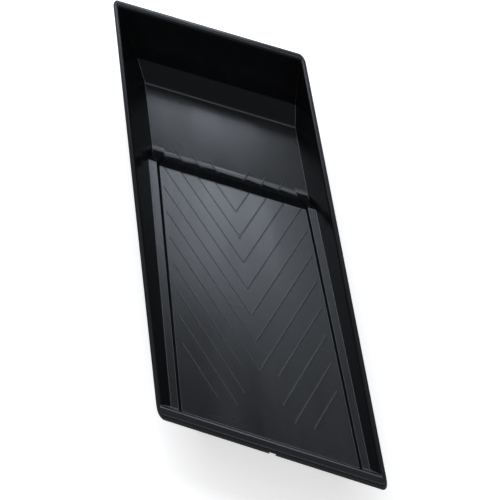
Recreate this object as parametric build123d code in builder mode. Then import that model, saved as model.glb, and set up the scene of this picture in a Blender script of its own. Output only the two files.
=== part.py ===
from build123d import *
from math import atan, degrees
import os

# Paint roller tray for a 230 mm roller. Millimetres, +Z up.
# The origin is on the floor the tray stands on, under the middle of the tray.
# +Y points at the deep end (the paint well) and -Y at the shallow end.

# --- Overall size ---
tray_width = 300.0
tray_length = 420.0
wall = 2.0
well_depth = 78.0
rim_height = well_depth + wall

# --- Rim: a flat flange that turns down into a skirt ---
rim_corner_radius = 9.0
rim_edge_radius = 1.4
skirt_height = 7.0
skirt_thickness = 1.8
shoulder_radius = 4.5
shoulder_under_radius = 3.0
skirt_notch_width = 8.0
skirt_notch_height = 2.5

# --- Basin walls, measured where their planes meet the rim plane ---
basin_half_width = 143.0
basin_far_y = 203.5
basin_near_y = -209.0
wall_draft = 0.345
corner_radius = 1.6

# --- Floor line from the shallow end to the deep end: y and depth under the rim ---
front_wall_top_y = -201.5
front_wall_slope = 0.56
ramp_start_depth = 34.0
ramp_end_y = 68.5
ramp_end_depth = 56.0
well_start_y = 89.7
well_end_y = 168.0
cove_slope = 1.26
ramp_end_radius = 5.0
well_start_radius = 20.0
well_end_radius = 4.0

# --- Recessed rolling panel in the ramp ---
panel_drop = 6.0
panel_wall_inset = 2.5
panel_half_width_front = 117.0
panel_half_width_back = 108.0
panel_side_draft = 0.66
panel_top_depth = 12.0
panel_headroom = 8.0
panel_foot_y = 88.5
panel_blend_length = 24.0
panel_foot_radius = 3.0

# --- Chevron ribs on the panel ---
rib_pitch = 26.7
rib_first_apex_y = 69.3
rib_rise = 1.05
rib_width = 1.1
rib_height = 0.4
rib_half_span = 105.0
rib_drop_half_span = 97.0
rib_back_y = 100.0
rib_front_y = -157.5
rib_row_count = 12
rib_whole_row_count = 8
rib_split_half_gap = 26.0
gate_mark_row = 2
gate_mark_length = 6.0
gate_mark_width = 0.9
gate_mark_angle = 60.0

# --- Hinge of the fold-out legs ---
rod_radius = 2.0
hinge_y = -167.5
hinge_z = 28.0
leg_x = 96.0
lug_gap = 12.4
lug_thickness = 4.0
lug_radius = 5.5
lug_top_z = 37.8
hub_length = 12.0
hub_radius = 5.0
hub_bore_radius = 2.06
rod_end_length = 4.0
rod_chamfer = 0.4
cap_radius = 4.2
cap_clearance = 0.2
cap_end = 1.4

# --- Legs and feet ---
leg_thickness = 7.0
leg_half_width_top = 5.0
leg_half_width_bottom = 4.0
leg_bottom_z = 2.5
leg_recess_depth = 1.5
leg_recess_inset = 2.0
heel_top_z = 36.6
heel_length = 4.5
foot_height = 11.0
foot_wall = 1.6
foot_edge_radius = 1.2
bar_z = 17.0
bar_height = 7.0
bar_thickness = 5.0
bar_edge_radius = 1.2

# --- Construction: sizes well outside the tray, and how edges are told apart ---
far_out = 400.0
over_rim = 20.0
same_place = 0.01
steep_climb = 0.85

os.makedirs("parts", exist_ok=True)

draft_angle = degrees(atan(wall_draft))
ramp_start_y = front_wall_top_y + front_wall_slope * ramp_start_depth
lug_offset = lug_gap / 2 + lug_thickness / 2
lug_middles = [side * leg_x + end * lug_offset for side in (-1, 1) for end in (-1, 1)]
rod_half_length = leg_x + lug_gap / 2 + lug_thickness + rod_end_length


def front_wall_y(depth):
    """Where the sloping front wall is at this depth under the rim."""
    return front_wall_top_y + front_wall_slope * depth


def rim_rectangle(inset, corner, mode=Mode.ADD):
    """The outline of the rim, drawn this far inside its edge."""
    return RectangleRounded(tray_width - 2 * inset, tray_length - 2 * inset, corner, mode=mode)


def is_steep(edge):
    """Whether an edge climbs steeply, as the corners of the basin do."""
    return abs((edge % 0.5).Z) > steep_climb


def on_rim_edge(point):
    """Whether a point is on the outer edge of the rim and not on the mouth of the basin."""
    near_side = abs(point.X) > tray_width / 2 - skirt_height / 2
    near_end = abs(point.Y) > tray_length / 2 - skirt_height / 2
    near_corner = abs(point.X) + abs(point.Y) > (tray_width + tray_length) / 2 - rim_corner_radius
    return near_side or near_end or near_corner


def basin(grow):
    """The hollow of the tray, or with grow the solid that surrounds it with a wall this thick."""
    flare = over_rim * wall_draft
    half_width = basin_half_width + grow + flare
    near_y = basin_near_y - grow - flare
    far_y = basin_far_y + grow + flare
    end_y = tray_length
    floor_z = rim_height - well_depth
    with BuildPart() as form:
        with BuildSketch(Plane.YZ) as side:
            with BuildLine():
                Polyline(
                    (front_wall_y(-over_rim - 1), rim_height + over_rim + 1),
                    (ramp_start_y, rim_height - ramp_start_depth),
                    (ramp_end_y, rim_height - ramp_end_depth),
                    (well_start_y, floor_z),
                    (well_end_y, floor_z),
                    (end_y, floor_z + cove_slope * (end_y - well_end_y)),
                    (end_y, far_out),
                    (front_wall_y(-over_rim - 1), far_out),
                    close=True,
                )
            make_face()
            if grow > 0:
                offset(amount=grow, kind=Kind.INTERSECTION)
        extrude(amount=tray_width, both=True)
        bends = form.edges().filter_by(Axis.X)
        bends = bends.filter_by(lambda e: e.center().Z < rim_height - ramp_start_depth / 2)
        bends = bends.sort_by(Axis.Y)
        fillet(bends[1], radius=ramp_end_radius)
        well_edges = form.edges().filter_by(Axis.X)
        well_edges = well_edges.filter_by(lambda e: e.center().Z < floor_z + 1).sort_by(Axis.Y)
        fillet(well_edges[0], radius=well_start_radius + grow)
        well_edges = form.edges().filter_by(Axis.X)
        well_edges = well_edges.filter_by(lambda e: e.center().Z < floor_z + 1).sort_by(Axis.Y)
        fillet(well_edges[-1], radius=well_end_radius + grow)
        with BuildSketch(Plane.XY.offset(rim_height + over_rim)):
            with Locations((0, (near_y + far_y) / 2)):
                Rectangle(2 * half_width, far_y - near_y)
        extrude(amount=far_out / 2, dir=(0, 0, -1), taper=draft_angle, mode=Mode.INTERSECT)
        steep = form.edges().filter_by(is_steep)
        fillet(steep, radius=corner_radius + grow)
    return form.part


def panel(grow):
    """The shallow recess in the ramp, or with grow the bulge under it with a wall this thick."""
    top_z = rim_height - panel_top_depth + grow
    front_z = rim_height - ramp_start_depth - panel_drop - grow
    back_z = rim_height - ramp_end_depth - panel_drop - grow
    floor_z = rim_height - well_depth - grow
    end_y = well_start_y + panel_blend_length
    front_half = panel_half_width_front + grow + panel_side_draft * (top_z - front_z)
    back_half = panel_half_width_back + grow + panel_side_draft * (top_z - back_z)
    splay = (back_half - front_half) / (ramp_end_y - ramp_start_y)
    near_half = front_half - splay * (tray_length + ramp_start_y)
    far_half = front_half + splay * (tray_length - ramp_start_y)
    start_depth = ramp_start_depth + panel_drop
    with BuildPart() as form:
        with BuildSketch(Plane.YZ):
            with BuildLine():
                Polyline(
                    (front_wall_y(panel_top_depth) - panel_wall_inset - grow, top_z),
                    (front_wall_y(start_depth) - panel_wall_inset - grow, front_z),
                    (ramp_end_y - grow / 2, back_z),
                    (panel_foot_y - grow / 2, floor_z),
                    (end_y, floor_z),
                    (end_y, back_z + panel_drop + panel_headroom),
                    (ramp_end_y, back_z + panel_drop + panel_headroom),
                    (ramp_start_y, top_z),
                    close=True,
                )
            make_face()
        extrude(amount=tray_width, both=True)
        bends = form.edges().filter_by(Axis.X)
        bends = bends.filter_by(lambda e: e.center().Z < front_z + 1).sort_by(Axis.Y)
        fillet(bends[0], radius=panel_foot_radius + grow)
        fillet(
            form.edges().filter_by(Axis.X).sort_by_distance((0, ramp_end_y, back_z))[0],
            radius=ramp_end_radius,
        )
        fillet(
            form.edges().filter_by(Axis.X).sort_by_distance((0, panel_foot_y, floor_z))[0],
            radius=well_start_radius + grow,
        )
        with BuildSketch(Plane.XY.offset(top_z)):
            with BuildLine():
                Polyline(
                    (-near_half, -tray_length),
                    (-far_half, tray_length),
                    (far_half, tray_length),
                    (near_half, -tray_length),
                    close=True,
                )
            make_face()
        extrude(
            amount=rim_height,
            dir=(0, 0, -1),
            taper=degrees(atan(panel_side_draft)),
            mode=Mode.INTERSECT,
        )
    return form.part


hollow = basin(0)
hollow_panel = panel(0)
surround = basin(wall)
surround_panel = panel(wall)

# --- Chevron ribs, as strips that reach just above the panel ---
with BuildPart() as ribs:
    with BuildSketch():
        for row in range(rib_row_count):
            apex_y = rib_first_apex_y - row * rib_pitch
            inner_x = 0.0 if row < rib_whole_row_count else rib_split_half_gap
            for side in (-1, 1):
                with BuildLine():
                    Polyline(
                        (side * inner_x, apex_y + rib_rise * inner_x),
                        (side * rib_half_span, apex_y + rib_rise * rib_half_span),
                        (side * rib_half_span, apex_y + rib_rise * rib_half_span - rib_width),
                        (side * inner_x, apex_y + rib_rise * inner_x - rib_width),
                        close=True,
                    )
                make_face()
        with BuildLine():
            Polyline(
                (-rib_half_span, rib_front_y),
                (-rib_half_span, ramp_end_y - panel_drop),
                (-rib_drop_half_span, rib_back_y),
                (rib_drop_half_span, rib_back_y),
                (rib_half_span, ramp_end_y - panel_drop),
                (rib_half_span, rib_front_y),
                close=True,
            )
        make_face(mode=Mode.INTERSECT)
        with Locations((0, rib_first_apex_y - gate_mark_row * rib_pitch)):
            Rectangle(gate_mark_length, gate_mark_width, rotation=gate_mark_angle)
            Rectangle(gate_mark_length, gate_mark_width, rotation=-gate_mark_angle)
    extrude(amount=rim_height - ramp_start_depth)
    add(surround_panel, mode=Mode.INTERSECT)
    add(hollow_panel.moved(Location((0, 0, rib_height))), mode=Mode.SUBTRACT)

# --- Tray ---
with BuildPart() as tray_body:
    with BuildSketch(Plane.XY.offset(rim_height - wall)):
        rim_rectangle(0, rim_corner_radius)
    extrude(amount=wall)
    add(surround)
    with BuildSketch(Plane.XY.offset(rim_height)):
        Rectangle(far_out, far_out * 2)
    extrude(amount=far_out, mode=Mode.SUBTRACT)
    under_rim = tray_body.edges().filter_by(lambda e: abs(e.center().Z - rim_height + wall) < same_place)
    under_rim = under_rim.filter_by(lambda e: not on_rim_edge(e.center()))
    fillet(under_rim, radius=shoulder_under_radius)
    add(surround_panel)
    add(hollow, mode=Mode.SUBTRACT)
    mouth = tray_body.edges().filter_by(lambda e: abs(e.center().Z - rim_height) < same_place)
    mouth = mouth.filter_by(lambda e: not on_rim_edge(e.center()))
    fillet(mouth, radius=shoulder_radius)
    with BuildSketch(Plane.XY.offset(rim_height - skirt_height)):
        rim_rectangle(0, rim_corner_radius)
        inner_corner = rim_corner_radius - skirt_thickness
        rim_rectangle(skirt_thickness, inner_corner, mode=Mode.SUBTRACT)
    extrude(amount=skirt_height)
    rim_edge = tray_body.edges().filter_by(lambda e: abs(e.center().Z - rim_height) < same_place)
    rim_edge = rim_edge.filter_by(lambda e: on_rim_edge(e.center()))
    fillet(rim_edge, radius=rim_edge_radius)
    with BuildSketch(Plane.XZ.offset(tray_length / 2 - 2 * skirt_thickness)):
        with Locations((0, rim_height - skirt_height)):
            Rectangle(skirt_notch_width, 2 * skirt_notch_height)
    extrude(amount=4 * skirt_thickness, mode=Mode.SUBTRACT)
    add(hollow_panel, mode=Mode.SUBTRACT)
    add(ribs.part)
    for lug_x in lug_middles:
        with BuildSketch(Plane.YZ.offset(lug_x)):
            with Locations((hinge_y, hinge_z)):
                Circle(lug_radius)
            with Locations((hinge_y, (hinge_z + lug_top_z) / 2)):
                Rectangle(2 * lug_radius, lug_top_z - hinge_z)
            with Locations((hinge_y, hinge_z)):
                Circle(rod_radius, mode=Mode.SUBTRACT)
        extrude(amount=lug_thickness / 2, both=True)

# --- Hinge rod and its push-on caps ---
with BuildPart() as hinge_rod:
    with BuildSketch(Plane.YZ):
        with Locations((hinge_y, hinge_z)):
            Circle(rod_radius)
    extrude(amount=rod_half_length, both=True)
    chamfer(hinge_rod.faces().filter_by(Axis.X).edges(), length=rod_chamfer)


def rod_cap(side):
    """A cup that presses onto one end of the rod. side is -1 on the left and 1 on the right."""
    mouth_x = leg_x + lug_gap / 2 + lug_thickness + cap_clearance
    end_x = rod_half_length + cap_end
    with BuildPart() as cap:
        with BuildSketch(Plane.YZ.offset(side * mouth_x)):
            with Locations((hinge_y, hinge_z)):
                Circle(cap_radius)
        extrude(amount=side * (end_x - mouth_x))
        end_face = cap.faces().filter_by(Axis.X).sort_by_distance((side * end_x, hinge_y, hinge_z))[0]
        fillet(end_face.edges(), radius=cap_end)
        add(hinge_rod.part, mode=Mode.SUBTRACT)
    return cap.part


# --- Fold-out legs, one moulding with a bar between them ---
with BuildPart() as leg_frame:
    for side in (-1, 1):
        with BuildSketch(Plane.XZ.offset(-hinge_y)):
            with BuildLine():
                Polyline(
                    (side * leg_x - leg_half_width_top, hinge_z),
                    (side * leg_x - leg_half_width_bottom, leg_bottom_z),
                    (side * leg_x + leg_half_width_bottom, leg_bottom_z),
                    (side * leg_x + leg_half_width_top, hinge_z),
                    close=True,
                )
            make_face()
        extrude(amount=leg_thickness / 2, both=True)
        with BuildSketch(Plane.YZ.offset(side * leg_x)):
            with Locations((hinge_y, hinge_z)):
                Circle(hub_radius)
            with Locations((hinge_y - hub_radius + heel_length / 2, (hinge_z + heel_top_z) / 2)):
                Rectangle(heel_length, heel_top_z - hinge_z)
        extrude(amount=hub_length / 2, both=True)
    with BuildSketch(Plane.YZ):
        with Locations((hinge_y, bar_z)):
            RectangleRounded(bar_thickness, bar_height, bar_edge_radius)
    extrude(amount=leg_x, both=True)
    for side in (-1, 1):
        with BuildSketch(Plane.XZ.offset(-hinge_y + leg_thickness / 2 - leg_recess_depth)):
            with Locations((side * leg_x, (foot_height + hinge_z - hub_radius) / 2)):
                Rectangle(
                    2 * (leg_half_width_bottom - leg_recess_inset),
                    hinge_z - hub_radius - foot_height - 2 * leg_recess_inset,
                )
        extrude(amount=2 * leg_recess_depth, mode=Mode.SUBTRACT)
    with BuildSketch(Plane.YZ):
        with Locations((hinge_y, hinge_z)):
            Circle(hub_bore_radius)
    extrude(amount=leg_x + hub_length, both=True, mode=Mode.SUBTRACT)


def foot(side):
    """A rubber boot that pushes onto the bottom of one leg."""
    with BuildPart() as boot:
        with BuildSketch():
            with Locations((side * leg_x, hinge_y)):
                RectangleRounded(
                    2 * (leg_half_width_top + foot_wall),
                    leg_thickness + 2 * foot_wall,
                    foot_edge_radius,
                )
        extrude(amount=foot_height)
        fillet(boot.faces().sort_by(Axis.Z)[0].edges(), radius=foot_edge_radius / 2)
        add(leg_frame.part, mode=Mode.SUBTRACT)
    return boot.part


rod_cap_left = rod_cap(-1)
rod_cap_right = rod_cap(1)
foot_left = foot(-1)
foot_right = foot(1)

pieces = {
    "tray_body": tray_body.part,
    "hinge_rod": hinge_rod.part,
    "rod_cap_left": rod_cap_left,
    "rod_cap_right": rod_cap_right,
    "leg_frame": leg_frame.part,
    "foot_left": foot_left,
    "foot_right": foot_right,
}
for name, piece in pieces.items():
    piece.label = name
    export_step(piece, f"parts/{name}.step")
    print(name, len(piece.solids()), round(piece.volume), piece.bounding_box())
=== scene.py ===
from math import pi

import bpy
import numpy
from mathutils import Matrix, Vector


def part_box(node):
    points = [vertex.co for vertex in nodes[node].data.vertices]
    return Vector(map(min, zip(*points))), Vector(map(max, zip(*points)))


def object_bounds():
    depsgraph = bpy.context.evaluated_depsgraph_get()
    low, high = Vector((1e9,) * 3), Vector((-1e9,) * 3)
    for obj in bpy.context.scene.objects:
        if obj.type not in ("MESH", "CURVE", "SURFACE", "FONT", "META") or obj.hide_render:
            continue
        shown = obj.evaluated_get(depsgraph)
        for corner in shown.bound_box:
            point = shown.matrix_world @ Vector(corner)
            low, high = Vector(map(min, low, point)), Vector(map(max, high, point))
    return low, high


# A black moulded paint roller tray on fold-out legs, on a pale studio floor.
# Everything is in metres, +Z up, with the paint well towards +Y.

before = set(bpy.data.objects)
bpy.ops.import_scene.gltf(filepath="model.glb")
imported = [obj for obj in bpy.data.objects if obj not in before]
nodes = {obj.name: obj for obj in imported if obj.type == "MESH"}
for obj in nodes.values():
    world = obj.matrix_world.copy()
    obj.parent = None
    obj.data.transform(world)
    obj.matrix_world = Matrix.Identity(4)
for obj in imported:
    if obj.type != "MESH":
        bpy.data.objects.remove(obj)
cad_low, cad_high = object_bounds()
tray_low, tray_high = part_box("tray_body")
tray_width = tray_high.x - tray_low.x
tray_length = tray_high.y - tray_low.y
tray_height = tray_high.z - tray_low.z


# --- Values that the materials are made from ---

# Colours are linear red, green, blue and opacity.
tray_black = (0.0024, 0.0027, 0.0034, 1.0)
leg_black = (0.007, 0.0075, 0.009, 1.0)
cap_black = (0.012, 0.012, 0.013, 1.0)
scuff_grey = (0.05, 0.053, 0.056, 1.0)
# The edge and corner greys pale the edges partly as wear and partly as painted highlight.
edge_wear_and_highlight_grey = (0.085, 0.088, 0.09, 1.0)
corner_wear_and_highlight_grey = (0.16, 0.165, 0.17, 1.0)
bright_zinc = (0.62, 0.62, 0.63, 1.0)
dull_zinc = (0.36, 0.36, 0.38, 1.0)
clean_rubber = (0.022, 0.022, 0.023, 1.0)
dusty_rubber = (0.09, 0.085, 0.078, 1.0)

# The roughness of each plastic, and how far the shading rounds its edges.
tray_roughness = 0.20
tray_edge_radius = 0.0013
leg_roughness = 0.42
leg_edge_radius = 0.0006
cap_roughness = 0.58
cap_edge_radius = 0.0003
bevel_samples = 6

# The surface of the plastic. Cells are counted to the metre, and a swing is added to the roughness.
plastic_ior = 1.49
flow_stretch = (1.0, 0.35, 1.0)
flow_cells = 14.0
flow_swing = 0.05
patch_cells = 45.0
patch_shade = 0.75
grain_cells = 2600.0
grain_swing = 0.03
grain_relief = 0.00004
peel_cells = 320.0
peel_relief = 0.00008
plastic_relief_strength = 0.25

# Scuffs and dust on the plastic. The higher the rarity, the fewer marks are left.
scratch_sets = (
    {"angle": 0.45, "length_cells": 14.0, "width_cells": 1100.0, "rarity": 0.72},
    {"angle": -1.05, "length_cells": 20.0, "width_cells": 1400.0, "rarity": 0.73},
)
scuff_strength = 0.12
dust_cells = 1500.0
dust_rarity = 0.74
dust_strength = 0.25
mark_fade = 0.06
wear_swing = 0.2

# Edges paled partly by wear and partly as painted highlight, on hollow and raised edges alike. Each
# pair is the cosine between the true and the rounded direction of the surface, where an edge starts
# to pale and where it is fully pale.
edge_starts = 0.95
edge_full = 0.85
corner_starts = 0.93
corner_full = 0.84
# The paler corner wear and painted highlight comes from a rounding this many times wider than the
# edge's own.
corner_reach = 1.9

# The drop into the well lies between these fractions of the tray's length. Its edges get no painted
# highlight or wear, so they stay dark.
drop_start = 0.655
drop_end = 0.716
drop_fade = 0.003

# The zinc-plated rod, with marks drawn out along X.
steel_stretch = (0.05, 1.0, 1.0)
steel_line_cells = 3000.0
steel_patch_cells = 90.0
steel_patch_low = 0.4
steel_patch_high = 0.7
steel_dull_high = 0.8
steel_smooth = 0.22
steel_dull = 0.42
steel_line_swing = 0.05
steel_relief = 0.00003
steel_relief_strength = 0.3

# The rubber of the feet.
rubber_edge_radius = 0.0005
rubber_pit_cells = 1400.0
rubber_dirt_cells = 160.0
rubber_dirt_low = 0.45
rubber_dirt_high = 0.7
rubber_dirt_strength = 0.6
rubber_smooth = 0.68
rubber_dull = 0.88
rubber_relief = 0.00012
rubber_relief_strength = 0.5

# Noise lies mostly between these two values.
noise_low = 0.3
noise_high = 0.7


# --- Small helpers for building materials from nodes ---


def new_material(name):
    """A material that holds only a Principled shader, joined to its output."""
    material = bpy.data.materials.new(name)
    material.use_nodes = True
    tree = material.node_tree
    tree.nodes.clear()
    output = tree.nodes.new("ShaderNodeOutputMaterial")
    shader = tree.nodes.new("ShaderNodeBsdfPrincipled")
    tree.links.new(shader.outputs["BSDF"], output.inputs["Surface"])
    return material, tree, shader


def place(tree, stretch=(1.0, 1.0, 1.0), angle=0.0):
    """Positions on the object in metres, stretched along each axis and turned about Z."""
    coords = tree.nodes.new("ShaderNodeTexCoord")
    mapping = tree.nodes.new("ShaderNodeMapping")
    mapping.inputs["Rotation"].default_value = (0.0, 0.0, angle)
    mapping.inputs["Scale"].default_value = stretch
    tree.links.new(coords.outputs["Object"], mapping.inputs["Vector"])
    return mapping.outputs["Vector"]


def noise(tree, where, cells, detail):
    """Cloudy noise with this many cells to the metre."""
    node = tree.nodes.new("ShaderNodeTexNoise")
    node.inputs["Scale"].default_value = cells
    node.inputs["Detail"].default_value = detail
    tree.links.new(where, node.inputs["Vector"])
    return node.outputs["Fac"]


def remap(tree, value, low, high, to_low, to_high):
    """Stretches a value from one range to another, and holds it at the ends."""
    node = tree.nodes.new("ShaderNodeMapRange")
    node.inputs["From Min"].default_value = low
    node.inputs["From Max"].default_value = high
    node.inputs["To Min"].default_value = to_low
    node.inputs["To Max"].default_value = to_high
    tree.links.new(value, node.inputs["Value"])
    return node.outputs["Result"]


def spread(tree, field, to_low, to_high):
    """Stretches noise over a range."""
    return remap(tree, field, noise_low, noise_high, to_low, to_high)


def sparse(tree, field, rarity):
    """Keeps only the peaks of noise: 0 below the rarity, and 1 a little above it."""
    return remap(tree, field, rarity, rarity + mark_fade, 0.0, 1.0)


def combine(tree, operation, first, second):
    """Arithmetic on two values. Either can be a number or a node's output."""
    node = tree.nodes.new("ShaderNodeMath")
    node.operation = operation
    for socket, value in zip(node.inputs, (first, second)):
        if isinstance(value, (int, float)):
            socket.default_value = value
        else:
            tree.links.new(value, socket)
    return node.outputs["Value"]


def blend_colour(tree, amount, first, second):
    """A mix of two colours. Either can be a plain colour or a node's output."""
    node = tree.nodes.new("ShaderNodeMix")
    node.data_type = "RGBA"
    # These sockets are told apart by number, because the node has four called A and four called B.
    for socket, value in ((node.inputs[6], first), (node.inputs[7], second)):
        if isinstance(value, tuple):
            socket.default_value = value
        else:
            tree.links.new(value, socket)
    tree.links.new(amount, node.inputs["Factor"])
    return node.outputs[2]


def bump(tree, height, strength, relief, normal=None):
    """Tilts the surface by a height map, with this much relief in metres."""
    node = tree.nodes.new("ShaderNodeBump")
    node.inputs["Strength"].default_value = strength
    node.inputs["Distance"].default_value = relief
    tree.links.new(height, node.inputs["Height"])
    if normal is not None:
        tree.links.new(normal, node.inputs["Normal"])
    return node.outputs["Normal"]


def soft_edges(tree, radius):
    """Rounds sharp edges in the shading, as moulded plastic has no knife edges."""
    node = tree.nodes.new("ShaderNodeBevel")
    node.samples = bevel_samples
    node.inputs["Radius"].default_value = radius
    return node.outputs["Normal"]


def edge_wear_and_highlight(tree, rounded, starts, full):
    """How far each place lies on an edge: 0 on flat faces, 1 where the rounding turns away most."""
    surface = tree.nodes.new("ShaderNodeNewGeometry")
    agreement = tree.nodes.new("ShaderNodeVectorMath")
    agreement.operation = "DOT_PRODUCT"
    tree.links.new(rounded, agreement.inputs[0])
    tree.links.new(surface.outputs["Normal"], agreement.inputs[1])
    return remap(tree, agreement.outputs["Value"], starts, full, 0.0, 1.0)


def paled_edge_zone(tree):
    """1 where edges are paled by wear and painted highlight, and 0 on the drop into the well, whose
    edges stay dark.
    """
    start_y = tray_low.y + drop_start * tray_length
    end_y = tray_low.y + drop_end * tray_length
    axes = tree.nodes.new("ShaderNodeSeparateXYZ")
    tree.links.new(place(tree), axes.inputs["Vector"])
    before = remap(tree, axes.outputs["Y"], start_y, start_y + drop_fade, 1.0, 0.0)
    after = remap(tree, axes.outputs["Y"], end_y - drop_fade, end_y, 0.0, 1.0)
    return combine(tree, "MAXIMUM", before, after)


def scratches(tree, angle, length_cells, width_cells, rarity):
    """Fine straight scuffs that run one way across the surface."""
    lanes = place(tree, (length_cells, width_cells, length_cells), angle)
    return sparse(tree, noise(tree, lanes, cells=1.0, detail=2.0), rarity)


# --- Materials ---


def moulded_plastic(name, colour, roughness, edge_radius):
    """Semi-gloss polypropylene with flow marks, fine grain, scuffs, dust, and edges paled partly by
    wear and partly as painted highlight.
    """
    material, tree, shader = new_material(name)
    where = place(tree)
    flow = noise(tree, place(tree, flow_stretch), flow_cells, detail=3.0)
    patches = noise(tree, where, patch_cells, detail=5.0)
    grain = noise(tree, where, grain_cells, detail=2.0)
    orange_peel = noise(tree, where, peel_cells, detail=2.0)
    scuffs = combine(tree, "MAXIMUM", *(scratches(tree, **marks) for marks in scratch_sets))
    dust = sparse(tree, noise(tree, where, dust_cells, detail=0.0), dust_rarity)
    rounded = soft_edges(tree, edge_radius)
    rounded_wider = soft_edges(tree, corner_reach * edge_radius)
    edge_paling_zone = paled_edge_zone(tree)

    shade = tuple(channel * patch_shade for channel in colour[:3]) + (1.0,)
    clean = blend_colour(tree, spread(tree, patches, 0.0, 1.0), shade, colour)
    scuff_tint = combine(tree, "MULTIPLY", scuffs, scuff_strength)
    dust_tint = combine(tree, "MULTIPLY", dust, dust_strength)
    worn = blend_colour(tree, combine(tree, "ADD", scuff_tint, dust_tint), clean, scuff_grey)
    # Painted highlight: edges and corners are paled partly as wear and partly to stand for light
    # caught on them, but not on the drop.
    edges = combine(tree, "MULTIPLY", edge_wear_and_highlight(tree, rounded, edge_starts, edge_full), edge_paling_zone)
    edged = blend_colour(tree, edges, worn, edge_wear_and_highlight_grey)
    corner_wear_and_highlight = edge_wear_and_highlight(tree, rounded_wider, corner_starts, corner_full)
    corners = combine(tree, "MULTIPLY", corner_wear_and_highlight, edge_paling_zone)
    tree.links.new(blend_colour(tree, corners, edged, corner_wear_and_highlight_grey), shader.inputs["Base Color"])

    dulled = combine(tree, "MULTIPLY", combine(tree, "MAXIMUM", scuffs, edges), wear_swing)
    fine_rough = combine(tree, "ADD", spread(tree, grain, -grain_swing, grain_swing), dulled)
    flow_rough = spread(tree, flow, roughness - flow_swing, roughness + flow_swing)
    tree.links.new(combine(tree, "ADD", flow_rough, fine_rough), shader.inputs["Roughness"])
    shader.inputs["IOR"].default_value = plastic_ior

    grained = bump(tree, grain, plastic_relief_strength, grain_relief, rounded)
    peeled = bump(tree, orange_peel, plastic_relief_strength, peel_relief, grained)
    tree.links.new(peeled, shader.inputs["Normal"])
    return material


def drawn_steel(name):
    """Zinc-plated wire with marks along its length and dull patches."""
    material, tree, shader = new_material(name)
    lines = noise(tree, place(tree, steel_stretch), steel_line_cells, detail=3.0)
    patches = noise(tree, place(tree), steel_patch_cells, detail=4.0)
    spots = remap(tree, patches, steel_patch_low, steel_patch_high, 0.0, 1.0)
    tree.links.new(blend_colour(tree, spots, bright_zinc, dull_zinc), shader.inputs["Base Color"])
    shader.inputs["Metallic"].default_value = 1.0
    patch_rough = remap(tree, patches, noise_low, steel_dull_high, steel_smooth, steel_dull)
    line_rough = spread(tree, lines, -steel_line_swing, steel_line_swing)
    tree.links.new(combine(tree, "ADD", patch_rough, line_rough), shader.inputs["Roughness"])
    marked = bump(tree, lines, steel_relief_strength, steel_relief)
    tree.links.new(marked, shader.inputs["Normal"])
    return material


def foot_rubber(name):
    """Dull dark rubber, dusty and slightly pitted."""
    material, tree, shader = new_material(name)
    where = place(tree)
    pits = noise(tree, where, rubber_pit_cells, detail=3.0)
    smears = noise(tree, where, rubber_dirt_cells, detail=5.0)
    dirt = remap(tree, smears, rubber_dirt_low, rubber_dirt_high, 0.0, rubber_dirt_strength)
    tree.links.new(blend_colour(tree, dirt, clean_rubber, dusty_rubber), shader.inputs["Base Color"])
    tree.links.new(spread(tree, pits, rubber_smooth, rubber_dull), shader.inputs["Roughness"])
    rounded = soft_edges(tree, rubber_edge_radius)
    pitted = bump(tree, pits, rubber_relief_strength, rubber_relief, rounded)
    tree.links.new(pitted, shader.inputs["Normal"])
    return material


tray_plastic = moulded_plastic("tray_plastic", tray_black, tray_roughness, tray_edge_radius)
leg_plastic = moulded_plastic("leg_plastic", leg_black, leg_roughness, leg_edge_radius)
cap_plastic = moulded_plastic("cap_plastic", cap_black, cap_roughness, cap_edge_radius)
steel = drawn_steel("rod_steel")
rubber = foot_rubber("foot_rubber")

looks = {
    "tray_body": tray_plastic,
    "leg_frame": leg_plastic,
    "rod_cap_left": cap_plastic,
    "rod_cap_right": cap_plastic,
    "hinge_rod": steel,
    "foot_left": rubber,
    "foot_right": rubber,
}
for name, material in looks.items():
    mesh = nodes[name].data
    mesh.materials.clear()
    mesh.materials.append(material)


# --- Studio: a pale floor and a soft white sky, both dimmer where the plastic mirrors them ---

floor_size = 12.0
floor_gap = 0.0002
floor_roughness = 0.9
floor_white = (0.9, 0.9, 0.9, 1.0)
floor_mirrored = (0.22, 0.22, 0.22, 1.0)
floor_glow_direct = 0.55
floor_glow_mirrored = 0.05

plain_white = (1.0, 1.0, 1.0, 1.0)
sky_blue = (0.86, 0.92, 1.0, 1.0)
sky_direct = 0.55
# The mirrored sky brightens with height, the sine of the elevation, and again towards the top.
sky_low_height = 0.1
sky_high_height = 0.75
top_start_height = 0.80
top_end_height = 0.87
sky_mirrored_low = 0.14
sky_mirrored_high = 0.25
sky_mirrored_top = 0.14


def pale_floor(height):
    """A wide square floor that glows a little, so that it stays white under the object."""
    half = floor_size / 2
    corners = [(-half, -half, 0.0), (half, -half, 0.0), (half, half, 0.0), (-half, half, 0.0)]
    mesh = bpy.data.meshes.new("studio_floor")
    mesh.from_pydata(corners, [], [(0, 1, 2, 3)])
    floor = bpy.data.objects.new("studio_floor", mesh)
    bpy.context.scene.collection.objects.link(floor)
    floor.location.z = height

    material, tree, shader = new_material("studio_floor")
    shader.inputs["Roughness"].default_value = floor_roughness
    shader.inputs["Specular IOR Level"].default_value = 0.0
    shader.inputs["Emission Color"].default_value = plain_white
    mirrored = tree.nodes.new("ShaderNodeLightPath").outputs["Is Glossy Ray"]
    tint = blend_colour(tree, mirrored, floor_white, floor_mirrored)
    tree.links.new(tint, shader.inputs["Base Color"])
    glow = remap(tree, mirrored, 0.0, 1.0, floor_glow_direct, floor_glow_mirrored)
    tree.links.new(glow, shader.inputs["Emission Strength"])
    mesh.materials.append(material)


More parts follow.
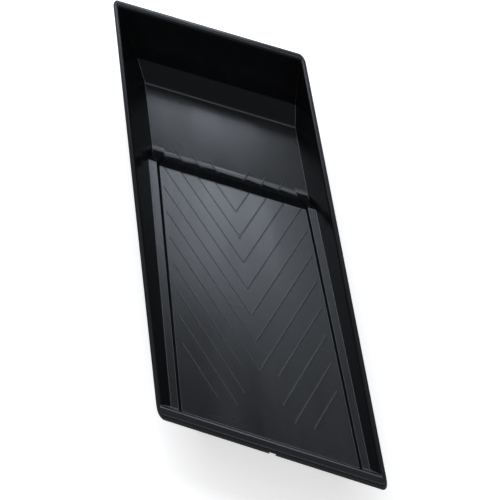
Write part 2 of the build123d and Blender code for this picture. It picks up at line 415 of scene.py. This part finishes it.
def soft_sky():
    """A plain white sky. Mirrored in the plastic it is blue, dim, and darker near the horizon."""
    world = bpy.data.worlds.new("studio_world")
    bpy.context.scene.world = world
    world.use_nodes = True
    tree = world.node_tree
    tree.nodes.clear()
    direction = tree.nodes.new("ShaderNodeTexCoord")
    axes = tree.nodes.new("ShaderNodeSeparateXYZ")
    tree.links.new(direction.outputs["Generated"], axes.inputs["Vector"])
    height = axes.outputs["Z"]
    slope = remap(tree, height, sky_low_height, sky_high_height, sky_mirrored_low, sky_mirrored_high)
    top = remap(tree, height, top_start_height, top_end_height, 0.0, sky_mirrored_top)

    surround = tree.nodes.new("ShaderNodeBackground")
    surround.inputs["Color"].default_value = plain_white
    surround.inputs["Strength"].default_value = sky_direct
    mirrored = tree.nodes.new("ShaderNodeBackground")
    mirrored.inputs["Color"].default_value = sky_blue
    tree.links.new(combine(tree, "ADD", slope, top), mirrored.inputs["Strength"])
    rays = tree.nodes.new("ShaderNodeLightPath")
    chooser = tree.nodes.new("ShaderNodeMixShader")
    tree.links.new(rays.outputs["Is Glossy Ray"], chooser.inputs["Fac"])
    tree.links.new(surround.outputs["Background"], chooser.inputs[1])
    tree.links.new(mirrored.outputs["Background"], chooser.inputs[2])
    output = tree.nodes.new("ShaderNodeOutputWorld")
    tree.links.new(chooser.outputs["Shader"], output.inputs["Surface"])


pale_floor(cad_low.z - floor_gap)
soft_sky()


# --- Softboxes, each placed where the camera sees it mirrored in the tray ---

camera_place = Vector((0.0, -1.948, 3.454))
cool_white = (0.82, 0.89, 1.0)
# Directions square to the faces that mirror the softboxes. The ramp drops 5 degrees towards the well.
floor_normal = Vector((0.0, 0.0, 1.0))
ramp_normal = Vector((0.0, 0.087, 1.0))
hollow_normal = Vector((0.0, 0.22, 1.0))
crease_normal = Vector((0.0, -0.36, 1.0))
side_lean = 0.34
side_reach = 0.4


def on_tray(across, along, up):
    """A place in the tray: metres from the middle, then fractions of its length and its height."""
    return Vector((across, tray_low.y + along * tray_length, tray_low.z + up * tray_height))


def mirrored_softbox(name, point, normal, distance, width, depth, radiance):
    """An oval softbox that the camera sees mirrored at this point of a face with this normal."""
    sight = (point - camera_place).normalized()
    centre = point + sight.reflect(normal.normalized()) * distance
    oval_area = pi * (width / 2) * (depth / 2)
    lamp = bpy.data.lights.new(name, "AREA")
    lamp.shape = "ELLIPSE"
    lamp.size = width
    lamp.size_y = depth
    lamp.energy = radiance * pi * oval_area
    lamp.color = cool_white
    holder = bpy.data.objects.new(name, lamp)
    holder.location = centre
    holder.rotation_mode = "QUATERNION"
    holder.rotation_quaternion = (point - centre).to_track_quat("-Z", "Y")
    holder.visible_camera = False
    bpy.context.scene.collection.objects.link(holder)


# The middle of the well floor, a little to the left.
well_middle = on_tray(across=-0.04, along=0.86, up=0.0)
mirrored_softbox(
    "well_softbox", well_middle, floor_normal, distance=0.46, width=0.22, depth=0.045, radiance=2.8
)
# The top of the ramp, beside the drop.
ramp_top = on_tray(across=-0.035, along=0.585, up=0.35)
mirrored_softbox(
    "ramp_softbox", ramp_top, ramp_normal, distance=1.25, width=0.37, depth=0.165, radiance=4.7
)
# The hollow at the foot of the drop. This wide strip shows in the far rim too.
drop_foot = on_tray(across=0.0, along=0.72, up=0.0)
mirrored_softbox(
    "back_strip", drop_foot, hollow_normal, distance=1.3, width=1.6, depth=0.55, radiance=2.6
)
# The crease at the back of the well floor.
crease = on_tray(across=0.0, along=0.90, up=0.0)
mirrored_softbox(
    "crease_strip", crease, crease_normal, distance=1.3, width=1.4, depth=0.26, radiance=2.6
)
# Beside the middle of the well floor, towards the foot of each side wall.
for name, side in (("side_softbox_left", -1.0), ("side_softbox_right", 1.0)):
    wall_foot = well_middle + Vector((side * side_reach * tray_width, 0.0, 0.0))
    wall_normal = Vector((-side * side_lean, 0.0, 1.0))
    mirrored_softbox(name, wall_foot, wall_normal, distance=1.1, width=0.22, depth=0.5, radiance=1.6)


# --- Camera: high in front of the shallow end, with an oblique picture plane ---

# A step along one of the first two directions moves straight right or straight up in the picture.
# They aren't square to each other, which skews the picture.
image_right = Vector((0.9805, 0.1176, 0.1577))
image_up = Vector((0.1481, 0.1174, 0.9820))
line_of_sight = Vector((0.0032, 0.4946, -0.8691))
lens_mm = 185.1
sensor_mm = 36.0


def oblique_camera():
    """A camera that hangs from a turned and unevenly scaled stand, which skews its picture plane."""
    picture_axes = numpy.array([image_right, image_up, -line_of_sight]).T
    outer_turn, stretches, inner_turn = numpy.linalg.svd(picture_axes)
    # Both turns have to be plain rotations, so a mirrored pair is turned back.
    if numpy.linalg.det(outer_turn) < 0:
        outer_turn[:, -1] *= -1
        inner_turn[-1] *= -1

    stand = bpy.data.objects.new("camera_stand", None)
    bpy.context.scene.collection.objects.link(stand)
    stand.location = camera_place
    stand.rotation_mode = "QUATERNION"
    stand.rotation_quaternion = Matrix(outer_turn.tolist()).to_quaternion()
    stand.scale = stretches.tolist()

    camera_data = bpy.data.cameras.new("camera")
    camera_data.lens = lens_mm
    camera_data.sensor_width = sensor_mm
    camera = bpy.data.objects.new("camera", camera_data)
    bpy.context.scene.collection.objects.link(camera)
    camera.parent = stand
    camera.rotation_mode = "QUATERNION"
    camera.rotation_quaternion = Matrix(inner_turn.tolist()).to_quaternion()
    return camera


bpy.context.scene.camera = oblique_camera()
bpy.context.scene.view_settings.view_transform = "Standard"
